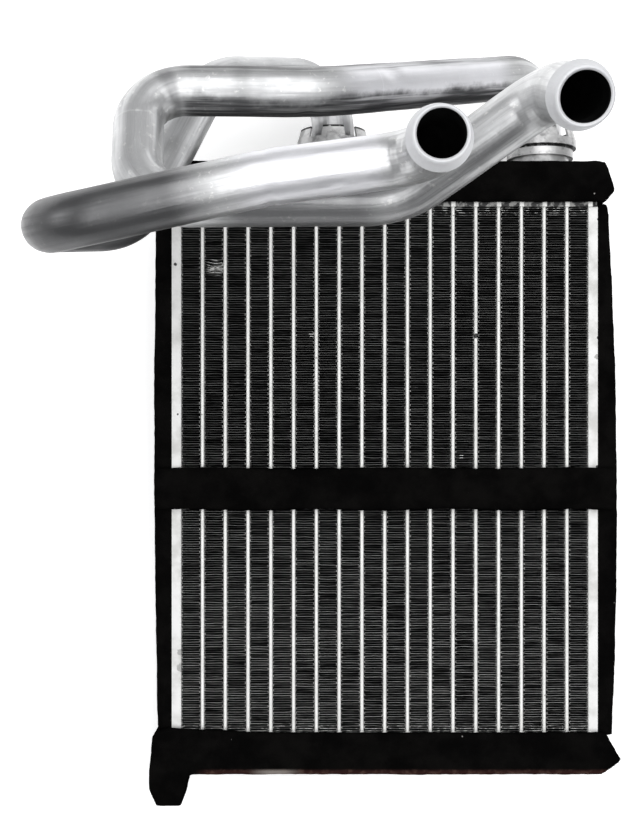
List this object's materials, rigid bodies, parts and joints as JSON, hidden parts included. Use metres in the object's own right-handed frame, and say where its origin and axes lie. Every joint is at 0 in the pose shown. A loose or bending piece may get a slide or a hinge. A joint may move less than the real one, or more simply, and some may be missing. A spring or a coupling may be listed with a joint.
{
  "type": "heater core",
  "caption": "Finned aluminium heater core with foam-wrapped tanks and edges, two crimped port cups and two bent pipes with beaded open ends facing forwards.",
  "frame": {"origin": "middle of the flat back of the foam band, which is level with the backs of the two foam wraps", "axes": "X to the core's right seen from the front, Y up towards the ports, Z out of the front face towards the pipes' open ends"},
  "size_m": [0.2269, 0.3128, 0.1958],
  "materials": {
    "tube": "pale brazed aluminium, matt with small bright spots",
    "fin": "thin louvred strip that looks dark grey from the front",
    "side_plate": "pale matt brazed aluminium with dark specks",
    "header": "grey brazed aluminium with flux bloom",
    "tank": "drawn aluminium, satin",
    "port_cup": "turned and crimped aluminium, satin",
    "pipe": "drawn aluminium, satin, lightly scratched and rippled at the bends",
    "foam": "black open foam with a soft fuzzy nap"
  },
  "bodies": {
    "root": {"tube_01": "tube", "tube_02": "tube", "tube_03": "tube", "tube_04": "tube", "tube_05": "tube", "tube_06": "tube", "tube_07": "tube", "tube_08": "tube", "tube_09": "tube", "tube_10": "tube", "tube_11": "tube", "tube_12": "tube", "tube_13": "tube", "tube_14": "tube", "tube_15": "tube", "tube_16": "tube", "tube_17": "tube", "fin_01": "fin", "fin_02": "fin", "fin_03": "fin", "fin_04": "fin", "fin_05": "fin", "fin_06": "fin", "fin_07": "fin", "fin_08": "fin", "fin_09": "fin", "fin_10": "fin", "fin_11": "fin", "fin_12": "fin", "fin_13": "fin", "fin_14": "fin", "fin_15": "fin", "fin_16": "fin", "fin_17": "fin", "fin_18": "fin", "side_plate_left": "side_plate", "side_plate_right": "side_plate", "header_top": "header", "header_bottom": "header", "tank_top": "tank", "tank_bottom": "tank", "tank_baffle": "tank", "port_cup_left": "port_cup", "port_cup_right": "port_cup", "pipe_left": "pipe", "pipe_right": "pipe", "foam_left": "foam", "foam_right": "foam", "foam_band": "foam", "foam_top": "foam", "foam_bottom": "foam"}
  },
  "joints": []
}
